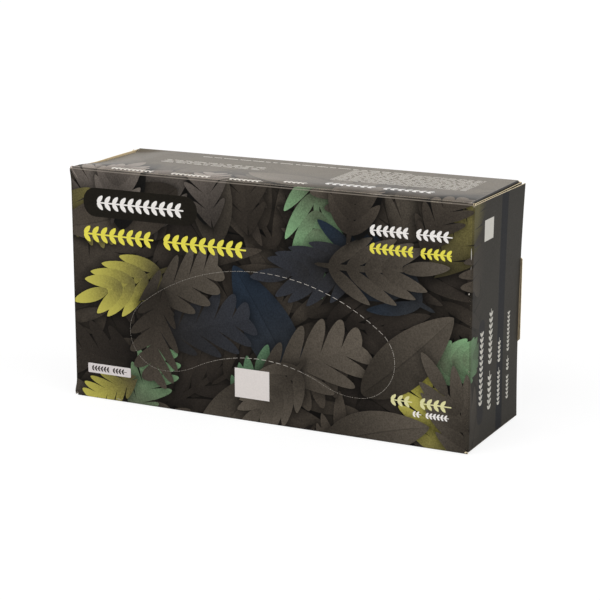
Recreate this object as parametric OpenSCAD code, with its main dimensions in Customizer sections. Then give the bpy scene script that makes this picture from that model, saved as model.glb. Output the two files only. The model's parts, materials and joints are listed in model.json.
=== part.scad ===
// Folding carton that dispenses disposable gloves, standing on a long narrow side.
// X runs along the carton, the front with the tear-out faces -Y and +Z is up.
// The origin is the centre of the underside.

/* [Carton] */
// Length over the two closed end flaps
box_length = 240; // [220:1:270]
// Depth from the front panel to the back panel, over the board
box_depth = 72.5; // [64:0.5:90]
// Height over the board
box_height = 133; // [124:0.5:150]
// Thickness of the paperboard
board = 0.5; // [0.4:0.05:0.7]
// Outside radius of every fold
fold_radius = 1; // [0.8:0.05:1.4]
// Gap between two layers of board that lie on each other
lap_gap = 0.1; // [0.05:0.05:0.3]

/* [End flaps] */
// Clearance between the outer flap and what lies round it
flap_gap = 0.3; // [0.25:0.05:0.6]
// Clearance round the root of the outer flap
root_gap = 0.1; // [0.05:0.05:0.2]
// Distance that the flaps stop short of the top and of the underside
flap_trim = 1.3; // [0.2:0.1:2.5]
// Angle at which the outer flaps stand open at rest, in degrees
flap_ajar = 0.8; // [0:0.1:3]
// Length of the dust flaps from their fold
dust_length = 45; // [30:1:58]
// Amount that each side of a dust flap slants in towards its free edge
dust_taper = 4; // [0:0.5:10]
// Side clearance between a dust flap and the folds of its corner
dust_gap = 0.5; // [0.3:0.1:2]

/* [Back tabs] */
// Height of the tab that stands in line with the back panel
tab_height = 46.5; // [30:0.5:60]
// Distance that the tab stands out past the inner flap
tab_reach = 2.2; // [1.5:0.1:4]
// Chamfer of the tab's corners
tab_chamfer = 1.6; // [0.5:0.1:2]

/* [Seam] */
// Width of the glued flap behind the back panel
seam_width = 14; // [10:0.5:20]
// Distance that the glued flap stops short of each dust flap
seam_end_gap = 6; // [3:0.5:15]
// Chamfer at the ends of the glued flap
seam_chamfer = 5; // [2:0.5:9]
// Gap under the raw lower edge of the back panel
seam_foot = 0.3; // [0.2:0.1:1]

/* [Dispensing hole] */
// Length of the bean-shaped perforation
hole_length = 161; // [150:1:175]
// Height of its highest point
hole_top = 84.7; // [80:0.1:90]
// Height of its two lowest points
hole_low = 22.2; // [18:0.2:25]
// Height of the middle of its lower edge
hole_waist = 36.3; // [32:0.1:41]
// Radius of its round ends
hole_end_radius = 21; // [19:0.5:23]
// Radius of its lower edge on either side of the waist
hole_lobe_radius = 40; // [34:1:44]
// Distance from the centre of a round end inwards to the lowest point
hole_lobe_inset = 1.5; // [0:0.5:5]
// Offset of the hole from the middle, negative to the left
hole_shift = -2.7; // [-6:0.1:6]
// Width of the cut between the panel and the tear-out piece
perforation_gap = 0.3; // [0.25:0.05:0.5]

/* [Gloves] */
// Free space between the front panel and the first glove
headspace = 9; // [6:0.5:14]
// Thickness of one flat glove, two walls of thin nitrile
glove_sheet = 0.16; // [0.12:0.02:0.24]
// Gap between the gloves and the board that they stand on or lean against
glove_gap = 0.3; // [0.3:0.05:1]
// Gap between the gloves and the dust flaps
glove_end_gap = 1.5; // [1:0.5:4]
// Gap between the thumb and the top panel
glove_top_gap = 6; // [3:0.5:10]
// Width of the palm, over four fingers
palm_width = 92; // [84:1:98]
// Width of the cuff
cuff_width = 96; // [90:1:104]
// Gap between two fingers
finger_gap = 2.4; // [1.5:0.1:4]
// Length of the middle finger
finger_length = 82; // [74:1:90]
// Width of the thumb
thumb_width = 22; // [19:0.5:25]
// Distance from the middle fingertip back to the tip of the thumb
thumb_back = 62; // [55:1:72]

/* [Hidden] */
$fn = 48;
fuse = 0.01;

print_colour = [0.21, 0.19, 0.17];
accent_colour = [0.30, 0.28, 0.25];
kraft_colour = [0.62, 0.54, 0.42];
glove_colour = [0.07, 0.07, 0.08];

// Faces of the carton.
front_face = -box_depth / 2;
back_face = box_depth / 2;
front_inside = front_face + board;
back_inside = back_face - board;

// Folds run round these distances, in from the outside of each fold.
fold_in = fold_radius;
front_fold = front_face + fold_in;
back_fold = back_face - fold_in;
top_fold = box_height - fold_in;
bottom_fold = fold_in;

// Layers of an end, from the outside in: outer flap, inner flap, dust flaps.
pivot_x = box_length / 2 - board;
pivot_y = front_inside;
inner_flap_face = pivot_x - flap_gap;
dust_face = inner_flap_face - board - lap_gap;
inner_flap_fold = inner_flap_face - fold_in;
dust_fold = dust_face - fold_in;
dust_inside = dust_face - board;
flap_height = box_height - 2 * flap_trim;

// The glued flap lies inside the back panel.
seam_face = back_inside - lap_gap;
seam_fold = seam_face - fold_in;
seam_half_length = dust_fold - seam_end_gap;

// Centres and radii of the arcs of the bean, symmetric about its middle.
end_x = hole_length / 2 - hole_end_radius;
lobe_x = end_x - hole_lobe_inset;
lobe_z = hole_low + hole_lobe_radius;
end_z = lobe_z - sqrt((hole_lobe_radius - hole_end_radius) ^ 2 - hole_lobe_inset ^ 2);
crown_rise = hole_top - end_z;
crown_radius = (end_x ^ 2 + crown_rise ^ 2 - hole_end_radius ^ 2)
    / (2 * (crown_rise - hole_end_radius));
crown_z = hole_top - crown_radius;
waist_rise = hole_waist - hole_low;
waist_radius = (lobe_x ^ 2 + waist_rise ^ 2) / (2 * waist_rise) - hole_lobe_radius;
waist_z = hole_waist - waist_radius;
crown_turn = atan2(end_z - crown_z, end_x);
lobe_turn = atan2(end_z - lobe_z, end_x - lobe_x);
waist_turn = atan2(lobe_z - waist_z, lobe_x);

// The stack of gloves fills the depth behind the headspace.
glove_count = 100;
glove_length = 2 * (dust_inside - glove_end_gap);
glove_height = box_height - 2 * board - glove_gap - glove_top_gap;
stack_front = front_inside + headspace;
stack_back = seam_face - board - glove_gap;
glove_pitch = (stack_back - stack_front - glove_sheet) / (glove_count - 1);

// Fingers of the flat glove, from the little finger up to the index finger.
finger_pitch = (palm_width + finger_gap) / 4;
finger_radius = (finger_pitch - finger_gap) / 2;
finger_shortfall = [20, 6, 0, 7];
knuckle_x = glove_length - finger_length;

// The thumb leaves the palm between its web and its heel, both behind the knuckles.
thumb_radius = thumb_width / 2;
thumb_tip_x = glove_length - thumb_back - thumb_radius;
thumb_tip_z = glove_height - thumb_radius;
thumb_tilt = 28;
thumb_web_x = knuckle_x - 8;
thumb_heel_x = knuckle_x - 74;
thumb_heel_z = (palm_width + cuff_width) / 2;

// Points of an arc round a centre, without its last point.
function arc(x, z, radius, from, to, steps) =
    [for (i = [0:steps - 1]) let (a = from + (to - from) * i / steps)
        [x + radius * cos(a), z + radius * sin(a)]];

// The bean, drawn in by the given amount on all sides.
function bean(shrink) = concat(
    arc(end_x, end_z, hole_end_radius - shrink, lobe_turn, crown_turn, 16),
    arc(0, crown_z, crown_radius - shrink, crown_turn, 180 - crown_turn, 24),
    arc(-end_x, end_z, hole_end_radius - shrink, 180 - crown_turn, 180 - lobe_turn, 16),
    arc(-lobe_x, lobe_z, hole_lobe_radius - shrink, -180 - lobe_turn, -waist_turn, 6),
    arc(0, waist_z, waist_radius + shrink, 180 - waist_turn, waist_turn, 16),
    arc(lobe_x, lobe_z, hole_lobe_radius - shrink, waist_turn - 180, lobe_turn, 6)
);

// Extrudes a shape drawn in Y and Z to both sides of the middle.
module along_x(half_length) {
    translate([-half_length, 0, 0])
        rotate([90, 0, 90])
            linear_extrude(2 * half_length)
                children();
}

// Extrudes a shape drawn in X and Z towards the back.
module along_y(start, length) {
    translate([0, start + length, 0])
        rotate([90, 0, 0])
            linear_extrude(length)
                children();
}

// Section of a fold between two angles, round the fold's centre.
module fold_section(from, to) {
    reach = 2 * fold_radius;
    intersection() {
        difference() {
            circle(fold_radius);
            circle(fold_radius - board);
        }
        polygon([[0, 0], reach * [cos(from), sin(from)], reach * [cos(to), sin(to)]]);
    }
}

module bean_prism(shrink, start, length) {
    along_y(start, length)
        translate([hole_shift, 0])
            polygon(bean(shrink));
}

module front_panel() {
    color(print_colour)
        difference() {
            along_x(pivot_x) {
                translate([front_face, bottom_fold])
                    square([board, top_fold - bottom_fold]);
                translate([front_fold, top_fold])
                    fold_section(135, 180);
                translate([front_fold, bottom_fold])
                    fold_section(180, 225);
            }
            bean_prism(0, front_face - board, 3 * board);
            for (side = [-1, 1])
                translate([side * pivot_x, pivot_y, -board])
                    cylinder(r = board + root_gap, h = box_height + 2 * board);
        }
}

module tear_out_panel() {
    color(accent_colour)
        bean_prism(perforation_gap, front_face, board);
}

module top_panel() {
    color(print_colour)
        along_x(dust_fold) {
            translate([front_fold, box_height - board])
                square([back_fold - front_fold, board]);
            translate([front_fold, top_fold])
                fold_section(90, 135);
            translate([back_fold, top_fold])
                fold_section(45, 90);
        }
}

module back_panel() {
    tab_end = inner_flap_face + tab_reach;
    tab_low = (box_height - tab_height) / 2;
    tab_high = tab_low + tab_height;
    color(print_colour)
        union() {
            along_x(inner_flap_fold) {
                translate([back_inside, seam_foot])
                    square([board, top_fold - seam_foot]);
                translate([back_fold, top_fold])
                    fold_section(0, 45);
            }
            along_y(back_inside, board)
                polygon([
                    [-tab_end, tab_low + tab_chamfer], [-tab_end + tab_chamfer, tab_low],
                    [tab_end - tab_chamfer, tab_low], [tab_end, tab_low + tab_chamfer],
                    [tab_end, tab_high - tab_chamfer], [tab_end - tab_chamfer, tab_high],
                    [-tab_end + tab_chamfer, tab_high], [-tab_end, tab_high - tab_chamfer]
                ]);
        }
}

module bottom_panel() {
    color(print_colour)
        along_x(dust_fold) {
            translate([front_fold, 0])
                square([seam_fold - front_fold, board]);
            translate([front_fold, bottom_fold])
                fold_section(225, 270);
            translate([seam_fold, bottom_fold])
                fold_section(270, 315);
        }
}

module glue_flap() {
    color(kraft_colour)
        union() {
            along_x(seam_half_length)
                translate([seam_fold, bottom_fold])
                    fold_section(315, 360);
            along_y(seam_face - board, board)
                polygon([
                    [-seam_half_length, bottom_fold], [seam_half_length, bottom_fold],
                    [seam_half_length - seam_chamfer, seam_width],
                    [-seam_half_length + seam_chamfer, seam_width]
                ]);
        }
}

// Flap with a round root on the hinge line, standing slightly open.
module outer_flap() {
    color(print_colour)
        translate([pivot_x, pivot_y, flap_trim])
            rotate([0, 0, -flap_ajar])
                union() {
                    cylinder(r = board, h = flap_height);
                    cube([board, back_inside - flap_gap - pivot_y, flap_height]);
                }
}

module inner_flap() {
    front_end = pivot_y + board + root_gap + flap_gap;
    notch_height = tab_height + 2 * flap_gap;
    notch_depth = fold_radius + tab_reach + flap_gap;
    color(print_colour)
        difference() {
            translate([0, 0, flap_trim])
                linear_extrude(flap_height) {
                    translate([inner_flap_fold, back_fold])
                        fold_section(0, 90);
                    translate([inner_flap_face - board, front_end])
                        square([board, back_fold - front_end]);
                }
            translate([
                inner_flap_fold - fuse, back_face - notch_depth, (box_height - notch_height) / 2
            ])
                cube([fold_radius + board, notch_depth + board, notch_height]);
        }
}

// Dust flap that folds down from the top panel.
module dust_flap() {
    root_half = back_fold - dust_gap;
    color(print_colour)
        union() {
            translate([0, root_half, 0])
                rotate([90, 0, 0])
                    linear_extrude(2 * root_half)
                        translate([dust_fold, top_fold])
                            fold_section(0, 90);
            translate([dust_inside, 0, 0])
                rotate([90, 0, 90])
                    linear_extrude(board)
                        polygon([
                            [-root_half, top_fold], [root_half, top_fold],
                            [root_half - dust_taper, top_fold - dust_length],
                            [-root_half + dust_taper, top_fold - dust_length]
                        ]);
        }
}

module lower_dust_flap() {
    translate([0, 0, box_height])
        mirror([0, 0, 1])
            dust_flap();
}

module on_left() {
    mirror([1, 0, 0])
        children();
}

// Outline of a flat glove: the cuff at X = 0, the little finger along Z = 0.
function finger_tip(i) =
    arc(glove_length - finger_shortfall[i] - finger_radius,
        finger_pitch * i + finger_radius, finger_radius, -90, 90, 6);
function finger_root(i) =
    [[knuckle_x, finger_pitch * i + 2 * finger_radius], [knuckle_x, finger_pitch * (i + 1)]];
function glove_outline() = concat(
    [[0, 0]],
    finger_tip(0), finger_root(0),
    finger_tip(1), finger_root(1),
    finger_tip(2), finger_root(2),
    finger_tip(3),
    [[thumb_web_x, palm_width]],
    arc(thumb_tip_x, thumb_tip_z, thumb_radius, thumb_tilt - 90, thumb_tilt + 90, 7),
    [[thumb_heel_x, thumb_heel_z], [0, cuff_width]]
);

// One glove of the stack, counted from the front; the fingers point right and left in turn.
module glove(number) {
    start = stack_front + (number - 1) * glove_pitch;
    turn = number % 2;
    mirror([turn, 0, 0])
        translate([-glove_length / 2, 0, board + glove_gap])
            along_y(start, glove_sheet)
                polygon(glove_outline());
}

module gloves(first, last) {
    color(glove_colour)
        for (number = [first:last])
            glove(number);
}

front_panel();
tear_out_panel();
top_panel();
back_panel();
bottom_panel();
glue_flap();
outer_flap();  // right_outer_flap
inner_flap();  // right_inner_flap
dust_flap();  // right_top_dust_flap
lower_dust_flap();  // right_bottom_dust_flap
on_left() outer_flap();  // left_outer_flap
on_left() inner_flap();  // left_inner_flap
on_left() dust_flap();  // left_top_dust_flap
on_left() lower_dust_flap();  // left_bottom_dust_flap
gloves(1, 1);  // front_glove
gloves(2, 10);  // gloves_2_to_10
gloves(11, 20);  // gloves_11_to_20
gloves(21, 30);  // gloves_21_to_30
gloves(31, 40);  // gloves_31_to_40
gloves(41, 50);  // gloves_41_to_50
gloves(51, 60);  // gloves_51_to_60
gloves(61, 70);  // gloves_61_to_70
gloves(71, 80);  // gloves_71_to_80
gloves(81, 90);  // gloves_81_to_90
gloves(91, 100);  // gloves_91_to_100
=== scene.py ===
# %% [markdown]
# # A dispensing carton of disposable gloves
# The object is a folding carton: one printed sheet of thin board, creased, folded round a
# stack of a hundred nitrile gloves and closed by tucked flaps at its two ends. The packed
# model gives every size. This script dresses each board panel, flap and glove in that frame.
# Sheet coordinates and carton coordinates are in millimetres until a mesh is made.

import json
import math

import bpy
import numpy as np
from mathutils import Matrix, Vector
from mathutils.geometry import delaunay_2d_cdt


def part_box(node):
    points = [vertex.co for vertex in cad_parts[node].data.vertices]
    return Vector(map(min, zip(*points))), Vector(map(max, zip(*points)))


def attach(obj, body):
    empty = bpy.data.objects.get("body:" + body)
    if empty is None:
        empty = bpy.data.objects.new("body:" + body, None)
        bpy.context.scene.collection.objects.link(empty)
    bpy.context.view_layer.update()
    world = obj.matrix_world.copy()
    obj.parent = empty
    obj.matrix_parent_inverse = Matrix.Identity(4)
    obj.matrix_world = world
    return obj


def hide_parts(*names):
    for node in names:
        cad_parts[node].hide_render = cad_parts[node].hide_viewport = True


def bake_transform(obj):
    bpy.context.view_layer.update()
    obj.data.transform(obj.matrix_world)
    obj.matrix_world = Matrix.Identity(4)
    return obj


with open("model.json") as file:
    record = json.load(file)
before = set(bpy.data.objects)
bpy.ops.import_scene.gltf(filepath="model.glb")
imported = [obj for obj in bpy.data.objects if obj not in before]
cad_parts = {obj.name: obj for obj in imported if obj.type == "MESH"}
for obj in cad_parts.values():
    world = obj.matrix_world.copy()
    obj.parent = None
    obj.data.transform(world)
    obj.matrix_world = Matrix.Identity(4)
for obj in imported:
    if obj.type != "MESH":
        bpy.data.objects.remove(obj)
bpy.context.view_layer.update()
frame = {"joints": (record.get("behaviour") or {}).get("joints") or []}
METRES = 0.001

# %% [markdown]
# ## Sizes from the frame
# The outer faces of the carton come from the boxes of its nodes, so nothing is fitted by
# hand. Only what a box can't tell is written down: the thickness of the board, the outer
# radius of a fold, the trim by which two sheets clear each other at a fold, and where the
# crease of an outer flap leaves the front.

# %% Faces of the carton
def extent(node):
    """Lowest and highest corner of a node, in millimetres."""
    low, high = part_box(node)
    return np.array(low) / METRES, np.array(high) / METRES


BOARD = 0.5
FOLD = 1.0
TRIM = 0.3
QUARTER = math.pi / 2
ARC = FOLD * QUARTER
FRONT = extent("front_panel")[0][1]
BACK = extent("back_panel")[1][1]
HEIGHT = extent("top_panel")[1][2]
HINGE = next(
    joint["pos_m"][0] for joint in frame["joints"] if joint["name"] == "right_flap_fold"
) / METRES
FLAP_LOW = extent("right_outer_flap")[0][2]
FLAP_HIGH = extent("right_outer_flap")[1][2]
FLAP_FREE = extent("right_outer_flap")[1][1]
INNER_FACE = extent("right_inner_flap")[1][0]
DUST_FACE = extent("right_top_dust_flap")[1][0]
TAB_END = extent("back_panel")[1][0]
SEAM_FACE = extent("glue_flap")[1][1]
HINGE_EDGE = 119.0
print("front", FRONT, "back", BACK, "height", HEIGHT, "hinge", HINGE, HINGE_EDGE)

# %% [markdown]
# ## Camera
# A long lens from a little above and to the right. Its place is worked out from two angles
# and a distance, then shifted aside and up without turning, because the origin is at the
# foot of the carton and the view is centred higher up. Typing in a matrix would do the
# same, but it couldn't be read or changed.

# %% Camera
AZIMUTH = math.radians(25.95899)
ELEVATION = math.radians(14.11047)
ROLL = math.radians(0.08303)
DISTANCE = 1039.81436
ASIDE, ABOVE = 4.45389, 59.66174
SENSOR = 36.0
FOCUS = 110.4817242


def place_object(name, data):
    """A new object with some data, linked into the scene."""
    made = bpy.data.objects.new(name, data)
    bpy.context.scene.collection.objects.link(made)
    return made


back_way = np.array([
    math.sin(AZIMUTH) * math.cos(ELEVATION),
    -math.cos(AZIMUTH) * math.cos(ELEVATION),
    math.sin(ELEVATION),
])
level_way = np.cross(-back_way, [0, 0, 1])
level_way /= np.linalg.norm(level_way)
rise_way = np.cross(level_way, -back_way)
right_way = level_way * math.cos(ROLL) + rise_way * math.sin(ROLL)
up_way = -level_way * math.sin(ROLL) + rise_way * math.cos(ROLL)
spot = (back_way * DISTANCE + right_way * ASIDE + up_way * ABOVE) * METRES
lens = bpy.data.cameras.new("Camera")
lens.sensor_width = SENSOR
lens.lens = FOCUS
lens.clip_start = 0.05
camera = place_object("Camera", lens)
turn = Matrix([right_way, up_way, back_way]).transposed()
camera.matrix_world = Matrix.Translation(Vector(spot)) @ turn.to_4x4()
bpy.context.scene.camera = camera
print("lens", round(lens.lens, 2), "mm at", np.round(spot, 3))

# %% [markdown]
# ## Writing materials as sums
# Shader maths reads best as arithmetic. A small class wraps an output socket, and each
# operator adds the Math node that does it. Colours are never sent through a Math node,
# which would turn them grey: they go through Mix.

# %% Sockets that add up
class Channel:
    """An output socket of a finish, for use in arithmetic."""

    def __init__(self, finish, socket):
        self.finish = finish
        self.socket = socket

    def __add__(self, other):
        return self.finish.maths("ADD", self, other)

    def __sub__(self, other):
        return self.finish.maths("SUBTRACT", self, other)

    def __rsub__(self, other):
        return self.finish.maths("SUBTRACT", other, self)

    def __mul__(self, other):
        return self.finish.maths("MULTIPLY", self, other)

    __radd__ = __add__


# %% A finish and its nodes
BUMP = 0.0002


class Finish:
    """A material with one Principled shader and a short way to add nodes."""

    def __init__(self, name):
        self.material = bpy.data.materials.new(name)
        self.material.use_nodes = True
        self.tree = self.material.node_tree
        self.tree.nodes.clear()
        self.shader = self.tree.nodes.new("ShaderNodeBsdfPrincipled")
        self.output = self.tree.nodes.new("ShaderNodeOutputMaterial")
        self.lit = Channel(self, self.shader.outputs[0])
        self.give(self.output.inputs[0], self.lit)

    def give(self, socket, value):
        """Links a channel to a socket, or sets the socket's own value."""
        if isinstance(value, Channel):
            self.tree.links.new(value.socket, socket)
        else:
            socket.default_value = value

    def node(self, kind, settings=(), values=(), output=0):
        """Adds a node of a type, sets it up, then fills its sockets."""
        made = self.tree.nodes.new("ShaderNode" + kind)
        for name, value in dict(settings).items():
            if name == "stops":
                for stop, (place, colour) in zip(made.color_ramp.elements, value):
                    stop.position = place
                    stop.color = colour
            else:
                setattr(made, name, value)
        for name, value in dict(values).items():
            self.give(made.inputs[name], value)
        return Channel(self, made.outputs[output])

    def maths(self, operation, *items):
        """One Math node over some channels or numbers."""
        return self.node("Math", {"operation": operation}, dict(enumerate(items)))

    def step(self, value, low, high):
        """0 below low, 1 above high and smooth between."""
        settings = {"interpolation_type": "SMOOTHSTEP"}
        return self.node("MapRange", settings, {0: value, 1: low, 2: high})

    def mix(self, factor, first, second, blend="MIX"):
        """The first colour at factor 0 and the second, or the blend of both, at 1."""
        settings = {"data_type": "RGBA", "blend_type": blend}
        return self.node("Mix", settings, {0: factor, 6: first, 7: second}, 2)

    def noise(self, scale, detail, roughness, stretch=None):
        """Noise in object space; the scale is in features a metre."""
        place = self.node("TexCoord", output=3)
        if stretch:
            place = self.node("Mapping", {}, {0: place, 3: stretch})
        values = {"Vector": place, "Scale": scale, "Detail": detail, "Roughness": roughness}
        return self.node("TexNoise", {}, values)

    def attribute(self, name, output=2):
        """A mesh attribute: output 0 is its colour, 2 its number and 3 its alpha."""
        return self.node("Attribute", {"attribute_name": name}, output=output)

    def relief(self, strength, height):
        """Small bumps, BUMP metres high at most, that follow a height."""
        values = {"Strength": strength, "Distance": BUMP, "Height": height}
        return self.node("Bump", {}, values)

    def set(self, **values):
        """Sets the shader's sockets by name, with underscores for spaces."""
        for name, value in values.items():
            self.give(self.shader.inputs[name.replace("_", " ")], value)


def linear(red, green, blue):
    """Screen colour from 0 to 255 as a linear colour with alpha."""
    value = np.array([red, green, blue], float) / 255
    low = value / 12.92
    high = ((value + 0.055) / 1.055) ** 2.4
    return (*np.where(value <= 0.04045, low, high).tolist(), 1.0)


def printed(red, green, blue):
    """A tone of the print: a screen colour as a linear colour without alpha."""
    return np.array(linear(red, green, blue)[:3])


print("dark board", np.round(linear(52, 46, 42), 4))

# %% [markdown]
# ## The print as flat shapes
# A carton is printed flat, as one sheet, so the pattern is designed flat too and simply
# carries on round the folds. On the sheet u runs along the carton and v runs up the front,
# over the top and down the back. The pattern is a thicket of overlapping leaves: long
# fronds cut into lobes, sprigs of narrow leaflets and broad plain leaves. Every shape is an
# outline of points. An image would be easier, but outlines stay sharp at any distance and
# need no file.

# %% Outlines of leaves
def heading(angle):
    """Unit vector at an angle in radians."""
    return np.array([math.cos(angle), math.sin(angle)])


def bent(along, across, root, angle, bend):
    """Places a straight outline: moved to its root, turned, and bent sideways as the
    square of the distance along it."""
    way = heading(angle)
    side = np.array([-way[1], way[0]])
    across = across + bend * along**2
    return root + along[:, None] * way + across[:, None] * side


def leaf_rim(length, width, fullness, steps):
    """Half a leaf from root to tip: the half width is the sine of a power of the distance,
    itself to the power fullness. A power below one makes a leaf fuller."""
    s = 0.5 - 0.5 * np.cos(np.linspace(0, math.pi, steps))
    half = 0.5 * width * np.sin(math.pi * s**0.85) ** fullness
    return s * length, half


def whole_leaf(length, width, fullness, steps, root, angle, bend=0.0):
    """Outline of a whole leaf: out along one side of its rim and back along the other."""
    along, half = leaf_rim(length, width, fullness, steps)
    rim = np.concatenate([along, along[::-1][1:-1]])
    across = np.concatenate([half, -half[::-1][1:-1]])
    return bent(rim, across, root, angle, bend)


def frond_rim(length, width, lobes, lean, steps):
    """Half a lobed frond: the half width of a full leaf times the size of a sine with one
    arch for each lobe, and each point pushed towards the tip by lean times its half width."""
    s = np.linspace(0, 1, lobes * steps + 1)
    envelope = 0.5 * width * np.sin(math.pi * np.clip(s * 0.93 + 0.05, 0, 1) ** 0.8) ** 0.6
    lobe = np.abs(np.sin(math.pi * s * lobes)) ** 0.42
    half = envelope * (0.16 + 0.84 * lobe)
    half[0] = 0.6
    half[-1] = 0
    return s * length * 0.82 + lean * half, half


def halves(along, half, root, angle, bend):
    """The two sides of a motif, each closed by a straight line along the midrib."""
    spine = np.linspace(along[-1], along[0], 9)[1:-1]
    flat = np.zeros(len(spine))
    made = []
    for side in (1, -1):
        rim_along = np.concatenate([along, spine])
        rim_across = np.concatenate([half * side, flat])
        made.append(bent(rim_along, rim_across, root, angle, bend))
    return made


def box_shape(u0, v0, u1, v1):
    """Rectangle with sharp corners."""
    return np.array([[u0, v0], [u1, v0], [u1, v1], [u0, v1]], float)


def rounded(u0, v0, u1, v1, radius, steps=5):
    """Rectangle with a quarter of a circle at each corner."""
    quarter = np.linspace(0, QUARTER, steps)
    centres = ((u1 - radius, v1 - radius), (u0 + radius, v1 - radius),
               (u0 + radius, v0 + radius), (u1 - radius, v0 + radius))
    parts = []
    for number, centre in enumerate(centres):
        angle = quarter + number * QUARTER
        parts.append(np.array(centre) + radius * np.stack([np.cos(angle), np.sin(angle)], 1))
    return np.concatenate(parts)


print("a leaf has", len(whole_leaf(80, 30, 0.7, 22, 0, 0)), "points,",
      "half a frond", len(frond_rim(80, 40, 5, 0.95, 12)[0]))

# %% [markdown]
# Each shape keeps its outline, the height of its layer, and the two tones that it fades
# between from root to tip. A motif is a list of shapes with one layer. Tones are written
# as screen colours, for the root first and then for the tip.

# %% Motifs
INKS = {
    "umber": ((44, 39, 34), (74, 67, 59)),
    "ash": ((51, 46, 40), (87, 80, 71)),
    "silver": ((56, 51, 47), (112, 104, 97)),
    "gap": ((17, 16, 15), (27, 25, 23)),
    "coal": ((31, 27, 24), (58, 52, 46)),
    "slate": ((38, 37, 37), (48, 50, 56)),
    "navy": ((45, 47, 50), (31, 41, 53)),
    "green": ((82, 87, 70), (128, 168, 124)),
    "moss": ((50, 50, 42), (84, 114, 86)),
    "yellow": ((78, 72, 50), (190, 182, 86)),
    "olive": ((64, 59, 40), (128, 120, 70)),
}
STATIONS = np.array([0.14, 0.31, 0.48, 0.64])
LEAFLETS = np.array([0.40, 0.44, 0.42, 0.36])
LEAFLET_SPREAD, LEAFLET_CLOSING, LEAFLET_BEND = 0.82, 0.45, 0.004


def shape(points, layer, tones, own, motif, casts=True):
    """One flat shape of the print: its outline, its root and tip tones, and the root, way
    and reach of the shape itself and of the whole motif."""
    return {
        "points": np.asarray(points, float), "layer": layer, "low": tones[0],
        "high": tones[1], "own": own, "motif": motif, "casts": casts,
    }


def plain(points, layer, tone):
    """A flat shape of one tone that casts no shadow: a label, a bar, a small ornament."""
    still = (np.zeros(2), heading(0), 1.0)
    return shape(points, layer, (tone, tone), still, still, False)


def inked(ink, bright):
    """Root and tip tone of an ink, each times bright."""
    return [printed(*colour) * bright for colour in INKS[ink]]


def two_sided(rim, shades, root, angle, length, layer, ink, bend, bright):
    """The two halves of a motif beside its midrib, one a shade paler than the other."""
    motif = (root, heading(angle), length)
    return [
        shape(points, layer, inked(ink, bright * shade), motif, motif)
        for points, shade in zip(halves(*rim, root, angle, bend), shades)
    ]


def broad_leaf(root, angle, length, layer, ink, bend, bright):
    """A plain leaf 0.4 times as wide as long, with a slim dark vein."""
    rim = leaf_rim(length, length * 0.40, 0.72, 22)
    made = two_sided(rim, (1.06, 0.93), root, angle, length, layer, ink, bend, bright)
    vein = whole_leaf(length * 0.96, 0.9, 0.5, 12, root, angle, bend)
    motif = (root, heading(angle), length)
    return made + [shape(vein, layer, inked(ink, bright * 0.72), motif, motif, False)]


def frond(root, angle, length, layer, ink, bend, bright):
    """Five pairs of round lobes, half as wide as long."""
    rim = frond_rim(length, length * 0.50, 5, 0.95, 12)
    return two_sided(rim, (1.05, 0.95), root, angle, length, layer, ink, bend, bright)


def sprig(root, angle, length, layer, ink, bend, bright):
    """A stem with four pairs of leaflets, closing towards the tip, and one at its end."""
    motif = (root, heading(angle), length)
    tones = inked(ink, bright)
    stem = whole_leaf(length * 0.85, 3.4, 0.3, 10, root, angle, bend)
    made = [shape(stem, layer, inked(ink, bright * 0.9), motif, motif)]
    spine = bent(STATIONS * length * 0.8, 0 * STATIONS, root, angle, bend)
    slopes = angle + np.arctan(2 * bend * STATIONS * length * 0.8)
    for place, slope, size, station in zip(spine, slopes, LEAFLETS * length, STATIONS):
        for side in (1, -1):
            lean = slope + side * (LEAFLET_SPREAD - LEAFLET_CLOSING * station)
            leaflet = whole_leaf(size, 7.6, 0.62, 12, place, lean, -side * LEAFLET_BEND)
            own = (place, heading(lean), size)
            made.append(shape(leaflet, layer, tones, own, motif))
    end = bent(np.array([0.66 * length]), np.zeros(1), root, angle, bend)[0]
    slope = angle + math.atan(2 * bend * 0.66 * length)
    leaflet = whole_leaf(length * 0.36, 7.8, 0.62, 12, end, slope)
    own = (end, heading(slope), length * 0.36)
    return made + [shape(leaflet, layer, tones, own, motif)]


MOTIFS = {"leaf": broad_leaf, "frond": frond, "sprig": sprig}
print(len(MOTIFS), "motifs in", len(INKS), "inks")

# %% [markdown]
# The thicket is laid in three coats from the back to the front, each paler and of smaller
# motifs than the one before. A coat is a pitch, kinds and inks to draw from, a range of
# lengths and a brightness. Chosen coloured motifs go in under the last coat, and a few more
# over it. A seeded generator jitters a grid, so the layout is even, looks grown and is the
# same on every run. Leaves scattered quite at random would leave bare spots.

# %% Lay out the thicket
COATS = (
    (33.0, ("leaf", "frond", "sprig"), ("coal", "umber"), (80, 104), 0.80),
    (38.0, ("frond", "sprig", "sprig"), ("umber", "coal", "umber"), (74, 98), 0.92),
    (58.0, ("frond", "leaf", "sprig"), ("ash", "umber", "ash"), (62, 84), 1.0),
)
JITTER, BENDING, EXTRA_BENDING, UNEVEN = 0.4, 0.0035, 0.003, 0.16


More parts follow.
